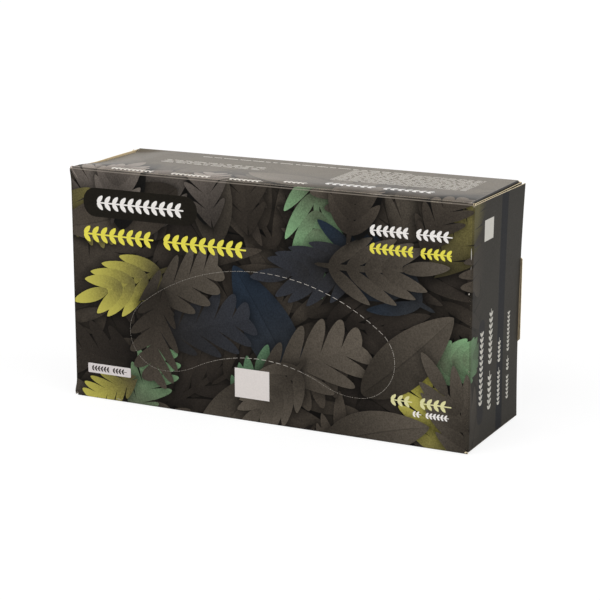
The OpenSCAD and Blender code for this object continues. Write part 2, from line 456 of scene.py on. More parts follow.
def thicket(seed, low, high, accents, crossing=()):
    """Shapes of the pattern over a rectangle of the sheet. The accents lie under the last
    coat and the crossing motifs over it; each of them is placed by its root."""
    rng = np.random.default_rng(seed)
    made = []
    layer = 0
    for (pitch, kinds, inks, sizes, bright), extra in zip(COATS, ((), accents, crossing)):
        grid = np.stack(np.meshgrid(
            np.arange(low[0], high[0], pitch), np.arange(low[1], high[1], pitch)
        ), -1).reshape(-1, 2)
        grid = grid + rng.uniform(-JITTER, JITTER, grid.shape) * pitch
        for place in grid[rng.permutation(len(grid))]:
            layer += 1
            kind = kinds[rng.integers(len(kinds))]
            ink = inks[rng.integers(len(inks))]
            angle = rng.uniform(0, 2 * math.pi)
            length = rng.uniform(*sizes)
            bend = rng.uniform(-BENDING, BENDING)
            tone = bright * rng.uniform(1 - UNEVEN, 1 + UNEVEN)
            root = place - 0.5 * length * heading(angle)
            made += MOTIFS[kind](root, angle, length, layer, ink, bend, tone)
        for kind, ink, place, degrees, length in extra:
            layer += 1
            bend = rng.uniform(-EXTRA_BENDING, EXTRA_BENDING)
            root = np.array(place, float)
            made += MOTIFS[kind](root, math.radians(degrees), length, layer, ink, bend, 1.0)
    return made


FRONT_ACCENTS = (
    ("frond", "silver", (-112, 92), 78, 66),
    ("sprig", "silver", (-66, 96), 84, 70),
    ("frond", "umber", (-8, 104), 96, 62),
    ("sprig", "ash", (26, 100), 72, 72),
    ("frond", "ash", (74, 96), 66, 68),
    ("sprig", "umber", (100, 98), 84, 60),
    ("sprig", "yellow", (-56, 82), 205, 68),
    ("frond", "green", (-84, -8), 62, 60),
    ("leaf", "navy", (22, 22), 118, 76),
    ("sprig", "green", (34, 150), 262, 74),
    ("frond", "yellow", (108, -16), 104, 66),
    ("sprig", "navy", (100, 74), 158, 78),
    ("frond", "olive", (98, 92), 58, 66),
    ("sprig", "green", (92, 44), 12, 48),
    ("frond", "slate", (-66, 40), 20, 74),
    ("sprig", "slate", (62, 100), 205, 70),
    ("frond", "olive", (-100, 8), 214, 50),
    ("sprig", "moss", (-12, -14), 82, 60),
    ("frond", "olive", (-140, 118), -18, 62),
)
LAID_LAST = (
    ("leaf", "gap", (-88, 100), 82, 62), ("sprig", "silver", (-94, 102), 78, 60),
    ("leaf", "gap", (-34, 108), 96, 52), ("frond", "silver", (-30, 106), 100, 54),
    ("leaf", "gap", (56, 108), 88, 56), ("sprig", "umber", (50, 104), 80, 60),
    ("leaf", "gap", (96, 112), 70, 50), ("frond", "umber", (92, 104), 66, 52),
    ("frond", "yellow", (-79, 16), 209, 45),
)
art = thicket(19, (-150, -60), (151, 200), FRONT_ACCENTS, LAID_LAST)
print(len(art), "shapes in the pattern of the front")

# %% [markdown]
# Labels and lines stand where a carton carries its wording. They are left without a word:
# pale squares, a bare label, a dark plaque and rows of small leaves set like lines of type.
# They belong to layer TOP and above, which no leaf of the thicket reaches.

# %% Rows of small leaves
ROW_PITCH, LEAF_LENGTH, LEAF_WIDTH, LEAF_SPREAD = 0.58, 0.62, 0.30, 0.86


def leaf_row(start, end, height, tone, layer, gaps=()):
    """A row of small leaves on both sides of a thin stem, with a gap at each given
    fraction of its length. Pitch, length and width of a leaf are shares of the height."""
    start = np.array(start, float)
    end = np.array(end, float)
    length = np.linalg.norm(end - start)
    angle = math.atan2(*(end - start)[::-1])
    way = heading(angle)
    pitch = height * ROW_PITCH
    made = []
    stops = [0.0, *gaps, 1.0]
    for first, last in zip(stops[:-1], stops[1:]):
        a = first * length + (pitch * 0.6 if first else 0)
        b = last * length - (pitch * 0.6 if last < 1 else 0)
        stem = rounded(a, -0.05 * height, b, 0.05 * height, 0.04 * height, 3)
        made.append(plain(bent(stem[:, 0], stem[:, 1], start, angle, 0), layer, tone))
        for place in np.arange(a, b - pitch * 0.7, pitch):
            for side in (1, -1):
                leaf = whole_leaf(height * LEAF_LENGTH, height * LEAF_WIDTH, 0.6, 8,
                                  start + way * place, angle + side * LEAF_SPREAD)
                made.append(plain(leaf, layer, tone))
    return made


WHITE = printed(236, 232, 228)
CREAM = printed(218, 214, 160)
YELLOW = printed(226, 216, 84)
PALE = printed(221, 214, 210)
TOP = 1000
labels = [plain(rounded(-112, 106, -39.5, 122.4, 7.6), TOP, printed(27, 24, 19))]
labels += leaf_row((-103, 114.2), (-48, 114.2), 8.6, WHITE, TOP + 1)
labels += leaf_row((-112, 96), (-9.6, 96), 9.6, YELLOW, TOP, (0.47,))
labels += leaf_row((62.9, 114.2), (108.6, 114.2), 6.4, WHITE, TOP, (0.52,))
labels += leaf_row((62.9, 104.6), (108.4, 104.6), 6.2, YELLOW, TOP, (0.58,))
labels += leaf_row((76, 24.2), (110, 24.2), 6.6, CREAM, TOP, (0.42,))
labels += leaf_row((88.5, 18), (108.7, 18), 3.6, WHITE, TOP, (0.3,))
labels.append(plain(box_shape(-17.1, 13.1, 4.1, 29.8), TOP, PALE))
labels.append(plain(rounded(-111.8, 15, -83.6, 20.6, 0.5, 3), TOP, printed(214, 207, 206)))
labels += leaf_row((-109.2, 17.8), (-86.2, 17.8), 3.4, printed(58, 52, 50), TOP + 1, (0.55,))
print(len(labels), "plain shapes on the front")

# %% [markdown]
# ## From shapes to one flat mesh
# Overlapping shapes can't simply be stacked, because paper-thin layers would fight for the
# same place. A constrained triangulation cuts the sheet along every outline instead, and
# each triangle then takes its colour from the highest shape over it. Extra points on a
# grid keep the triangles small, so that colours can fade across a leaf.

# %% Tools for flat outlines
def inside(points, outline):
    """Whether each point lies in a closed outline, by counting the edges beside it."""
    x, y = points[:, :1], points[:, 1:]
    a, b = outline, np.roll(outline, -1, 0)
    spans = (a[:, 1] > y) != (b[:, 1] > y)
    rise = np.where(b[:, 1] == a[:, 1], 1e-9, b[:, 1] - a[:, 1])
    crossing = a[:, 0] + (y - a[:, 1]) / rise * (b[:, 0] - a[:, 0])
    return (spans & (x < crossing)).sum(1) % 2 == 1


def covered(points, outline, among=True):
    """Numbers of the points in a closed outline. Only those in its box are tested."""
    close = ((points > outline.min(0)) & (points < outline.max(0))).all(1)
    close = np.flatnonzero(close & among)
    return close[inside(points[close], outline)]


def rules(low, high, lines, upright=False, pitch=2.0):
    """Points and edges of straight lines over the sheet, level or upright."""
    count = int((high - low) / pitch) + 2
    run = np.linspace(low, high, count)
    points = np.concatenate([np.stack([run, np.full(count, line)], 1) for line in lines])
    first = np.arange(len(lines) * count).reshape(-1, count)
    edges = np.stack([first[:, :-1].ravel(), first[:, 1:].ravel()], 1)
    return points[:, ::-1] if upright else points, edges


def fill_in(outline, pitch):
    """Adds points along the long stretches of a closed outline."""
    run = np.roll(outline, -1, 0) - outline
    count = np.maximum(1, (np.linalg.norm(run, axis=1) / pitch).astype(int))
    start = np.repeat(np.cumsum(count) - count, count)
    share = (np.arange(count.sum()) - start) / np.repeat(count, count)
    return np.repeat(outline, count, 0) + share[:, None] * np.repeat(run, count, 0)


def visible_edges(shapes):
    """Points and edges of all outlines, without the edges that a higher shape hides."""
    outlines = [fill_in(s["points"], 2.5) for s in shapes]
    points = np.concatenate(outlines)
    sizes = np.array([len(p) for p in outlines])
    owner = np.repeat(np.arange(len(shapes)), sizes)
    after = np.arange(len(points)) + 1
    after[np.cumsum(sizes) - 1] -= sizes
    hidden = np.zeros(len(points), bool)
    for number, s in enumerate(shapes):
        hidden[covered(points, s["points"], (owner < number) & ~hidden)] = True
    edges = np.stack([np.arange(len(points)), after], 1)
    edges = edges[~(hidden[edges].all(1))]
    used, fresh = np.unique(edges, return_inverse=True)
    return points[used], fresh.reshape(-1, 2)


print("the labels have", len(visible_edges(labels)[1]), "visible edges")

# %% Cut the sheet
def network(area, hole, near, lines, columns, pitch):
    """Grid points, and the edges that must be kept: rows, columns, shapes and outlines."""
    low, high = area.min(0), area.max(0)
    grid = np.stack(np.meshgrid(
        np.arange(low[0] + 0.5 * pitch, high[0], pitch),
        np.arange(low[1] + 0.5 * pitch, high[1], pitch),
    ), -1).reshape(-1, 2)
    points, edges = [grid], []
    networks = [rules(low[0], high[0], lines)] if len(lines) else []
    networks += [rules(low[1], high[1], columns, True)] if len(columns) else []
    networks += [visible_edges(near)] if near else []
    for outline in (area, hole) if hole is not None else (area,):
        ring = fill_in(outline, pitch)
        number = np.arange(len(ring))
        networks.append((ring, np.stack([(number - 1) % len(ring), number], 1)))
    for more, joined in networks:
        edges += (joined + sum(len(p) for p in points)).tolist()
        points.append(more)
    return [Vector(p) for p in np.concatenate(points).tolist()], edges


def highest(points, near):
    """Number of the highest shape over each point, or -1 where there is none."""
    top = np.full(len(points), -1)
    for number, s in enumerate(near):
        top[covered(points, s["points"])] = number
    return top


def cut_sheet(area, hole, shapes, lines=(), columns=(), pitch=1.8):
    """Triangulates area without hole, and gives every triangle its highest shape."""
    low, high = area.min(0), area.max(0)
    near = [
        s for s in shapes
        if (s["points"].max(0) > low).all() and (s["points"].min(0) < high).all()
    ]
    near.sort(key=lambda s: s["layer"])
    flat, edges = network(area, hole, near, lines, columns, pitch)
    made = delaunay_2d_cdt(flat, edges, [], 0, 1e-4, False)
    sheet, faces = np.array([tuple(p) for p in made[0]]), np.array(made[2])
    middle = sheet[faces].mean(1)
    keep = inside(middle, area)
    if hole is not None:
        keep &= ~inside(middle, hole)
    used, fresh = np.unique(faces[keep], return_inverse=True)
    return sheet[used], fresh.reshape(-1, 3), highest(middle[keep], near), near


square = box_shape(0, 0, 10, 10)
sheet, faces, _, _ = cut_sheet(square, None, ())
print("a square of 10 mm is cut into", len(faces), "triangles with", len(sheet), "points")

# %% [markdown]
# The ink of a corner fades from the root colour of its shape to the tip colour. A leaf
# that lies higher darkens what it covers: the shade falls off with the distance to its
# outline, which makes the flat print look like cut paper laid in layers.

# %% Ink every corner
def ease(value, low, high):
    """0 below low, 1 above high, smooth between."""
    t = np.clip((np.asarray(value, float) - low) / (high - low), 0, 1)
    return t * t * (3 - 2 * t)


def rim_distance(points, outline):
    """Distance from each point to the nearest edge of a closed outline."""
    a = outline
    b = np.roll(outline, -1, 0)
    run = b - a
    size = np.maximum((run**2).sum(1), 1e-9)
    away = points[:, None] - a
    t = np.clip((away * run).sum(2) / size, 0, 1)
    return np.sqrt(((away - t[..., None] * run) ** 2).sum(2).min(1))


GROUND = printed(15, 14, 13)
SHADE_DEPTH, SHADE_FALL, SHADE_REACH = 0.5, 2.4, 6.0


def ink_corners(sheet, faces, top, near):
    """Colour of every corner of every triangle. It eases from the root to the tip tone, and
    under each higher shape it is darkened by an exponential of the distance to it."""
    corners = sheet[faces]
    ink = np.tile(GROUND, (len(faces), 3, 1))
    layer = np.full(len(faces), -1)
    shown = np.unique(top[top >= 0])
    for number in shown:
        s = near[number]
        mine = top == number
        p = corners[mine]
        own, whole = (
            np.clip((p - root) @ way / reach, 0, 1)
            for root, way, reach in (s["own"], s["motif"])
        )
        t = ease(0.5 * own + 0.5 * whole, 0, 1)[..., None]
        ink[mine] = s["low"] * (1 - t) + s["high"] * t
        layer[mine] = s["layer"]
    for s in (near[number] for number in shown if near[number]["casts"]):
        outline = s["points"]
        low, high = outline.min(0) - SHADE_REACH, outline.max(0) + SHADE_REACH
        close = ((sheet > low) & (sheet < high)).all(1)
        light = np.ones(len(sheet))
        gap = rim_distance(sheet[close], outline)
        shade = SHADE_DEPTH * np.exp(-gap / SHADE_FALL)
        light[close] = 1 - shade * (1 - ease(gap, 3, SHADE_REACH))
        under = np.flatnonzero(close[faces].any(1) & (layer < s["layer"]))
        ink[under] *= light[faces[under]][..., None]
    return ink


print("a shadow 1 mm from an edge is", round(SHADE_DEPTH * math.exp(-1 / SHADE_FALL), 2), "deep")

# %% [markdown]
# ## Board that folds
# Every panel is a flat sheet walked along a folded line: straight legs for the panels and
# short arcs for the creases. The second parameter runs along the crease. So one function
# gives each panel, its folds and its flaps.

# %% Walk along a folded line
def walk(distance, start, angle, legs):
    """Point after a distance on a line of legs (length, turn): a leg without a turn is
    straight, and a leg with a turn is an arc of radius length / turn."""
    distance = np.asarray(distance, float)
    place = np.array(start, float)
    begun = 0.0
    result = np.zeros((*distance.shape, 2))
    for number, (length, turn) in enumerate(legs):
        here = (distance >= begun) | (number == 0)
        local = distance - begun
        if turn:
            radius = length / turn
            side = np.array([-math.sin(angle), math.cos(angle)])
            centre = place + radius * side
            swept = angle + local / radius
            point = centre + radius * np.stack([np.sin(swept), -np.cos(swept)], -1)
            angle += turn
            place = centre + radius * np.array([math.sin(angle), -math.cos(angle)])
        else:
            way = heading(angle)
            point = place + local[..., None] * way
            place = place + length * way
        result = np.where(here[..., None], point, result)
        begun += length
    return result


FLAT_TOP = BACK - FRONT - 2 * FOLD
GIRTH = (
    (BACK - FOLD - (FRONT + FOLD), 0), (ARC, -QUARTER), (HEIGHT - 2 * FOLD, 0),
    (ARC, -QUARTER), (FLAT_TOP, 0), (ARC, -QUARTER), (HEIGHT, 0),
)
GIRTH_START = FOLD - ARC - GIRTH[0][0]
TOP_CREASE = HEIGHT - FOLD
TOP_PANEL = TOP_CREASE + ARC
BACK_CREASE = TOP_PANEL + FLAT_TOP
BACK_PANEL = BACK_CREASE + ARC


def girth(u, v):
    """Place on the front, top, back or underside: u along X, v walked round the carton."""
    ring = walk(v - GIRTH_START, (BACK - FOLD, 0), math.pi, GIRTH)
    return np.stack([u, ring[..., 0], ring[..., 1]], -1)


PINCH_OUT, PINCH_UP, SWELL_UP, SUNK_OUT, SUNK_DOWN = 0.8, 0.15, 0.5, 0.4, 1.9


def settle(place, u, v):
    """Small handling marks of the closed carton, added to its places: the top left corner
    of the front is pinched outwards, and the top swells at its left end and sinks behind
    that. Each mark is a product of smooth steps and bell curves round its spot."""
    y, z = place[..., 1], place[..., 2]
    below, beyond = np.minimum(v - TOP_CREASE, 0) / 5, np.maximum(v - TOP_PANEL, 0) / 16
    pinch = np.exp(-(((u + HINGE) / 6) ** 2 + below**2 + beyond**2)) * ease(z, 120, 131)
    sunk = ease(-u, 92, 118) * ease(y, -34, -8) * (1 - ease(y, 31, 36))
    sunk = sunk * ease(z, 112, HEIGHT - FOLD)
    swell = ease(-u, 84, 116) * np.exp(-(((y + 20) / 13) ** 2)) * ease(z, 128, HEIGHT - FOLD)
    place[..., 0] -= PINCH_OUT * pinch + SUNK_OUT * sunk
    place[..., 2] += PINCH_UP * pinch + SWELL_UP * swell - SUNK_DOWN * sunk
    return place


print("the front ends at v", TOP_CREASE, "and the top panel at v", BACK_CREASE)

# %% [markdown]
# A sheet becomes a board when it gets its thickness. Solidify grows the kraft side inwards
# from the printed face, and gives the kraft inside and the cut edge their own materials.
# Two attributes travel with the corners: the ink, whose alpha tells how well the varnish shines
# there, and the distance to the nearest crease or cut edge, where print wears first. By that
# distance the finishes also paint a highlight on the printed side and light on the kraft side.

# %% Make a board piece
pieces = {}


def smooth_mesh(name, points, faces):
    """Smooth-shaded mesh from points in millimetres."""
    mesh = bpy.data.meshes.new(name)
    mesh.from_pydata(points * METRES, [], faces)
    mesh.update(calc_edges=True)
    mesh.shade_smooth()
    return mesh


def add_piece(name, node, body, mesh):
    """Object for a node of the model."""
    piece = place_object(name, mesh)
    if body:
        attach(piece, body)
    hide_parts(node)
    pieces[name] = piece
    print(name, len(mesh.vertices), "points", len(mesh.polygons), "faces")
    return piece


def board_piece(name, node, body, points, faces, ink, edge):
    """Mesh of a board: its outer face, turned outwards and thickened inwards."""
    points = np.asarray(points, float)
    faces = np.asarray(faces)
    middle = np.array([0, 0, HEIGHT / 2])
    corners = points[faces]
    across = np.cross(corners[:, 1] - corners[:, 0], corners[:, 2] - corners[:, 0])
    if (across * (corners.mean(1) - middle)).sum() < 0:
        faces = faces[:, ::-1]
        ink = ink[:, ::-1]
        edge = edge[:, ::-1]
    mesh = smooth_mesh(name, points, faces)
    users = np.zeros(len(mesh.loops), int)
    mesh.loops.foreach_get("edge_index", users)
    rim = np.bincount(users, minlength=len(mesh.edges)) == 1
    mesh.attributes.new("sharp_edge", "BOOLEAN", "EDGE").data.foreach_set("value", rim)
    colour = mesh.attributes.new("ink", "FLOAT_COLOR", "CORNER")
    full = np.ones((faces.size, 4))
    full[:, :ink.shape[-1]] = ink.reshape(faces.size, -1)
    colour.data.foreach_set("color", full.ravel())
    worn = mesh.attributes.new("edge", "FLOAT", "CORNER")
    worn.data.foreach_set("value", edge.reshape(-1).astype(np.float32))
    piece = add_piece(name, node, body, mesh)
    thick = piece.modifiers.new("board", "SOLIDIFY")
    thick.thickness = BOARD * METRES
    thick.offset = -1
    thick.material_offset = 1
    thick.material_offset_rim = 2
    return piece


def crease_distance(v, lines):
    """Distance to the nearest of some lines."""
    return np.abs(np.asarray(v)[..., None] - np.array(lines)).min(-1)


# %% [markdown]
# ## The bean-shaped perforation
# The tear-out is a bean: two round ends joined by a long crown above, and a waist between
# two lobes below. Six arcs that meet smoothly give it. The cut isn't a line but a row of
# short slits with small bridges between, and raw board shows pale at each slit.

# %% Arcs of the bean
HOLE_LENGTH, HOLE_TOP, HOLE_LOW, HOLE_WAIST = 161, 84.7, 22.2, 36.3
END_RADIUS, LOBE_RADIUS, LOBE_INSET, HOLE_SHIFT = 21, 40, 1.5, -2.7
end_x = HOLE_LENGTH / 2 - END_RADIUS
lobe_x = end_x - LOBE_INSET
lobe_z = HOLE_LOW + LOBE_RADIUS
end_z = lobe_z - math.sqrt((LOBE_RADIUS - END_RADIUS) ** 2 - LOBE_INSET**2)
crown_rise = HOLE_TOP - end_z
crown_radius = (end_x**2 + crown_rise**2 - END_RADIUS**2) / (2 * (crown_rise - END_RADIUS))
crown_z = HOLE_TOP - crown_radius
waist_rise = HOLE_WAIST - HOLE_LOW
waist_radius = (lobe_x**2 + waist_rise**2) / (2 * waist_rise) - LOBE_RADIUS
waist_z = HOLE_WAIST - waist_radius
crown_turn = math.atan2(end_z - crown_z, end_x)
lobe_turn = math.atan2(end_z - lobe_z, end_x - lobe_x)
waist_turn = math.atan2(lobe_z - waist_z, lobe_x)


def bean(inset, density=1):
    """Outline of the bean, drawn in by inset, on its arcs."""
    half = math.pi
    arcs = (
        (end_x, end_z, END_RADIUS - inset, lobe_turn, crown_turn, 30),
        (0, crown_z, crown_radius - inset, crown_turn, half - crown_turn, 60),
        (-end_x, end_z, END_RADIUS - inset, half - crown_turn, half - lobe_turn, 30),
        (-lobe_x, lobe_z, LOBE_RADIUS - inset, -half - lobe_turn, -waist_turn, 12),
        (0, waist_z, waist_radius + inset, half - waist_turn, waist_turn, 40),
        (lobe_x, lobe_z, LOBE_RADIUS - inset, waist_turn - half, lobe_turn, 12),
    )
    parts = []
    for x, z, radius, start, stop, steps in arcs:
        angle = np.linspace(start, stop, steps * density + 1)[:-1]
        ring = np.stack([np.cos(angle), np.sin(angle)], 1)
        parts.append(np.array([x + HOLE_SHIFT, z]) + radius * ring)
    return np.concatenate(parts)


print("the bean is drawn with", len(bean(0)), "points")

# %% Slits of the perforation
# Painted light: centres and widths, as shares of the way round the bean, of the spots where the
# lips of the cut catch the light.
LIT_SPOTS = ((0.21, 0.13), (0.84, 0.06))
SLIT_DARK, SLIT_PALE = printed(66, 58, 49), printed(216, 210, 200)


def slits(pitch, length, half_width):
    """Thin shapes along the bean, one for each slit, in the light tone of the raw board. Round the
    spots in LIT_SPOTS, where the lips of the cut catch the light, the slits are painted brighter;
    elsewhere they stay dim and only the bridges show as points."""
    inner, outer = bean(half_width, 4), bean(-half_width, 4)
    line = bean(0, 4)
    steps = np.linalg.norm(np.roll(line, -1, 0) - line, axis=1)
    run = np.concatenate([[0], np.cumsum(steps)])
    inner = np.concatenate([inner, inner[:1]])
    outer = np.concatenate([outer, outer[:1]])
    count = int(round(run[-1] / pitch))
    made = []
    for number in range(2 * count):
        bridge = number % 2
        start = (number // 2 + 0.1) * run[-1] / count
        spot = start / run[-1]
        # painted light: a slit is brighter near the spots where the lips of the cut catch the light
        lip_light = sum(math.exp(-(((spot - centre) / width) ** 2)) for centre, width in LIT_SPOTS)
        if bridge and lip_light > 0.45:
            continue
        first, last = (length + 0.4, length + 0.9) if bridge else (0, length)
        at = np.linspace(start + first, start + last, 4)
        near_side = np.stack([np.interp(at, run, inner[:, i]) for i in (0, 1)], 1)
        far_side = np.stack([np.interp(at, run, outer[:, i]) for i in (0, 1)], 1)
        share = 0.6 if bridge else 0.18 + 0.76 * lip_light
        tone = SLIT_DARK * (1 - share) + SLIT_PALE * share
        made.append(plain(np.concatenate([near_side, far_side[::-1]]), TOP + 5, tone))
    return made


perforation = slits(4.4, 2.9, 0.105)
print(len(perforation), "slits round a bean", round(crown_radius, 1), round(waist_radius, 1))

# %% [markdown]
# Handling leaves scuffs along the folds, where the pale board shows through the print. At the top
# left corner, bent by handling, the marks are partly painted highlight for the light that the bent
# corner catches. They are slim leaf outlines of one tone, given by root, length, width and
# direction. A texture could scatter them, but a few chosen ones sit where hands and shelves touch a
# carton.

# %% Scuffs and painted highlights
SCUFFS_AND_HIGHLIGHTS = (
    # The first two marks, at the top left corner, are partly painted highlight for the light on the
    # bent corner.
    (-119.2, 133.6, 2.2, 0.9, -62, (206, 190, 180)),
    (-118.6, 132.2, 6.5, 0.55, -58, (132, 122, 114)),
    (118.0, 133.9, 1.6, 1.0, 8, (214, 196, 184)),
    (116.2, 133.0, 3.0, 0.5, 2, (150, 138, 128)),
    (119.0, 103.6, 6.4, 0.42, 91, (180, 176, 170)),
    (118.9, 98.4, 2.2, 0.3, 88, (128, 122, 116)),
    (118.2, 85.4, 0.9, 0.6, 85, (196, 190, 180)),
    (119.1, 44.5, 0.8, 0.5, 90, (140, 130, 116)),
    (117.8, 0.6, 1.5, 0.9, 35, (220, 204, 170)),
    (-93.5, 1.5, 3.6, 0.4, -6, (150, 146, 136)),
    (-119.3, 3.4, 1.0, 0.5, 80, (150, 132, 96)),
    (-96.0, 133.3, 5.0, 0.5, 0, (126, 118, 110)),
    (12.0, 134.0, 9.0, 0.45, 0, (150, 144, 138)),
    (62.0, 133.2, 12.0, 0.5, 0, (158, 150, 142)),
)
scuffs_and_highlights = []
for u, v, length, width, degrees, colour in SCUFFS_AND_HIGHLIGHTS:
    mark = whole_leaf(length, width, 0.6, 7, np.array([u, v]), math.radians(degrees))
    scuffs_and_highlights.append(plain(mark, TOP + 6, printed(*colour)))
print(len(scuffs_and_highlights), "scuffs_and_highlights")

# %% [markdown]
# ## Printed panels
# One function makes any printed panel: it cuts the sheet, inks the corners, lets the
# pattern fade where the real print goes plain, and folds the result into place.

# %% A printed panel
PLAIN_INK = printed(53, 50, 46)
# Painted sheen: the top's ground is a lighter copy of the plain ink, for the reflected light that
# makes the top look pale.
TOP_INK_WITH_SHEEN = printed(108, 99, 84)
# Painted shade: the ends' ground is a darker copy of the plain ink, for end panels that look darker
# in this light.
END_INK_SHADED = printed(48, 45, 39)
FOLD_STEPS = 6
WEAR_ONLY = 0.45


def printed_panel(name, node, body, area, place, edge, shapes, fade=None, ground=PLAIN_INK,
                  hole=None, lines=(), columns=(), pitch=1.6, sheen_gain=1.0, shine=None):
    """A panel whose pattern, gain times as light as on the front, has the strength fade(u, v) over
    a ground of plain ink, under varnish that shines shine(u, v). A gain above one is painted sheen,
    and so is a ground lighter than the plain ink."""
    area = np.array(area, float)
    sheet, faces, top, near = cut_sheet(area, hole, shapes, lines, columns, pitch)
    ink = ink_corners(sheet, faces, top, near)
    u, v = sheet.T
    if fade:
        strength = fade(u, v)[faces][..., None]
        drawn = np.array([s["layer"] >= TOP for s in near] + [False])[top]
        mixed = ground * (1 - strength) + sheen_gain * ink * strength
        ink = np.where(drawn[:, None, None], ink, mixed)
    if shine:
        ink = np.concatenate([ink, shine(u, v)[faces][..., None]], -1)
    return board_piece(name, node, body, place(u, v), faces, ink, edge(u, v)[faces])


def fold_rows(crease, turned=1):
    """Lines across a fold, one for each step of its arc."""
    return [crease + turned * ARC * i / FOLD_STEPS for i in range(FOLD_STEPS + 1)]


print("lines across the lowest fold:", np.round(fold_rows(FOLD, -1), 2))

# %% [markdown]
# The front isn't quite flat: the stack of gloves pushes it out into a soft pillow, a cosine along
# the carton times a sine up it. The tear-out is the same sheet inside the bean, so it follows the
# same pillow. The two lines of the top fold get a painted highlight, partly worn varnish, for the
# light that a rounded fold catches; the other creases have WEAR_ONLY added to their distance, so
# that the print only wears there.

# %% Front panel and tear-out piece
SPAN, PILLOW = 240, 0.35
FAR_FROM_EDGES = 9.0


def front_place(u, v):
    """The walked sheet, pushed forward by the pillow between its two creases."""
    point = girth(u, v)
    across = np.cos(math.pi * u / SPAN)
    up = np.sin(math.pi * np.clip(v, 0, HEIGHT) / HEIGHT)
    point[..., 1] -= PILLOW * across * up * (v > FOLD) * (v < TOP_CREASE)
    return settle(point, u, v)


def front_edge(u, v):
    """Distance to the lines of the top fold, or to the other creases plus WEAR_ONLY."""
    others = np.minimum(crease_distance(v, (FOLD - ARC, FOLD)), np.abs(HINGE - np.abs(u)))
    return np.minimum(crease_distance(v, (TOP_CREASE, TOP_PANEL)), WEAR_ONLY + others)


low_end, high_end = FOLD - ARC - TRIM, TOP_PANEL + TRIM
wide, narrow = HINGE - 0.15, HINGE_EDGE
step_low, step_high = FLAP_LOW - 0.1, FLAP_HIGH + 0.1
front_area = [
    (-wide, low_end), (wide, low_end), (wide, step_low), (narrow, step_low),
    (narrow, step_high), (wide, step_high), (wide, high_end), (-wide, high_end),
    (-wide, step_high), (-narrow, step_high), (-narrow, step_low), (-wide, step_low),
]
front_shapes = art + labels + perforation + scuffs_and_highlights
front_rows = fold_rows(FOLD, -1) + fold_rows(TOP_CREASE)
printed_panel(
    "front_board", "front_panel", "carton", front_area, front_place, front_edge,
    front_shapes, hole=bean(0), lines=front_rows,
)
printed_panel(
    "tear_out_board", "tear_out_panel", "tear_out", bean(0), front_place,
    lambda u, v: np.full(len(u), FAR_FROM_EDGES), front_shapes,
)

# %% [markdown]
# The top carries the pattern on from the front and lets it fade into a lighter ground, so that it
# grows paler towards the back. That lighter ground, and the pattern drawn lighter than on the
# front, are painted sheen for the reflected light on the top. Near the front fold it has short
# lines and a block of fine rows; here they are rows of leaves and plain dashes.

# %% Top panel
GREY = printed(238, 232, 222)


def dashes(u0, v0, u1, v1, pitch, tall, seed):
    """Rows of plain dashes of uneven length."""
    rng = np.random.default_rng(seed)
    made = []
    for v in np.arange(v0, v1, pitch):
        u = u0
        while u < u1:
            length = min(rng.uniform(2.5, 9.0), u1 - u)
            made.append(plain(box_shape(u, v, u + length, v + tall), TOP, GREY))
            u += length + rng.uniform(1.0, 2.0)
    return made


def top_v(y):
    """Height on the sheet of a line across the top panel."""
    return TOP_PANEL + y - (FRONT + FOLD)


top_shapes = art + dashes(26, top_v(-7), 104, top_v(25), 1.9, 0.5, 3)
for start, stop, y in ((-96, -70, -31), (-58, -34, -31), (-22, -2, -31), (8, 22, -26)):
    top_shapes += leaf_row((start, top_v(y)), (stop, top_v(y)), 4.6, GREY, TOP)
top_shapes += leaf_row((30, top_v(-20)), (92, top_v(-20)), 7.0, WHITE, TOP, (0.5,))
top_shapes += dashes(-84, top_v(2), -20, top_v(12), 3.4, 0.8, 5)
top_shapes += dashes(-70, top_v(26), 60, top_v(27), 3.4, 0.8, 6)
top_width = DUST_FACE - FOLD - TRIM
TOP_SWELL, TOP_SAG, SWELL_REACH, END_REACH = 0.5, 0.25, 9, 16


def top_place(u, v):
    """The top sags as a product of two cosines, and behind the front fold it swells as
    t * exp(1 - t) of the distance to the fold."""
    point = girth(u, v)
    y = point[..., 1]
    sag = np.cos(math.pi * u / SPAN) * np.cos(math.pi * y / (BACK - FRONT))
    near = np.clip(v - TOP_PANEL, 0, None) / SWELL_REACH
    swell = near * np.exp(1 - near) * ease(118 - np.abs(u), 0, END_REACH)
    point[..., 2] += TOP_SWELL * swell - TOP_SAG * np.clip(sag, 0, 1)
    return settle(point, u, v)


printed_panel(
    "top_board", "top_panel", "carton",
    box_shape(-top_width, high_end, top_width, BACK_CREASE - TRIM), top_place,
    lambda u, v: np.minimum(
        crease_distance(v, (TOP_PANEL, BACK_CREASE)), WEAR_ONLY + DUST_FACE - FOLD - np.abs(u)
    ),
    top_shapes, fade=lambda u, v: 1.0 - 0.85 * ease(v, TOP_PANEL, TOP_PANEL + 46),
    # painted sheen: a lighter ground and a lighter pattern on the top
    ground=TOP_INK_WITH_SHEEN, pitch=2.2, sheen_gain=2.4,
    shine=lambda u, v: 0.62 + 0.38 * ease(v, TOP_PANEL, TOP_PANEL + 15),
)

# %% [markdown]
# The back hangs from the top by its own fold and ends in a raw edge at the bottom. A tab
# stands out of it at each end, cut from the same board as the flap beside it, so the
# notch in the flap has the tab's shape.

# %% Back panel
BACK_ACCENTS = (
    ("sprig", "green", (-70, 232), 70, 74), ("frond", "yellow", (84, 330), 250, 72),
    ("leaf", "navy", (-20, 300), 150, 70), ("sprig", "yellow", (10, 250), 20, 70),
    ("frond", "moss", (120, 240), 150, 70), ("sprig", "navy", (-90, 330), 300, 72),
)
back_art = thicket(23, (-150, 190), (151, 360), BACK_ACCENTS)


def back_v(z):
    """Height on the sheet of a line across the back panel."""
    return BACK_PANEL + TOP_CREASE - z


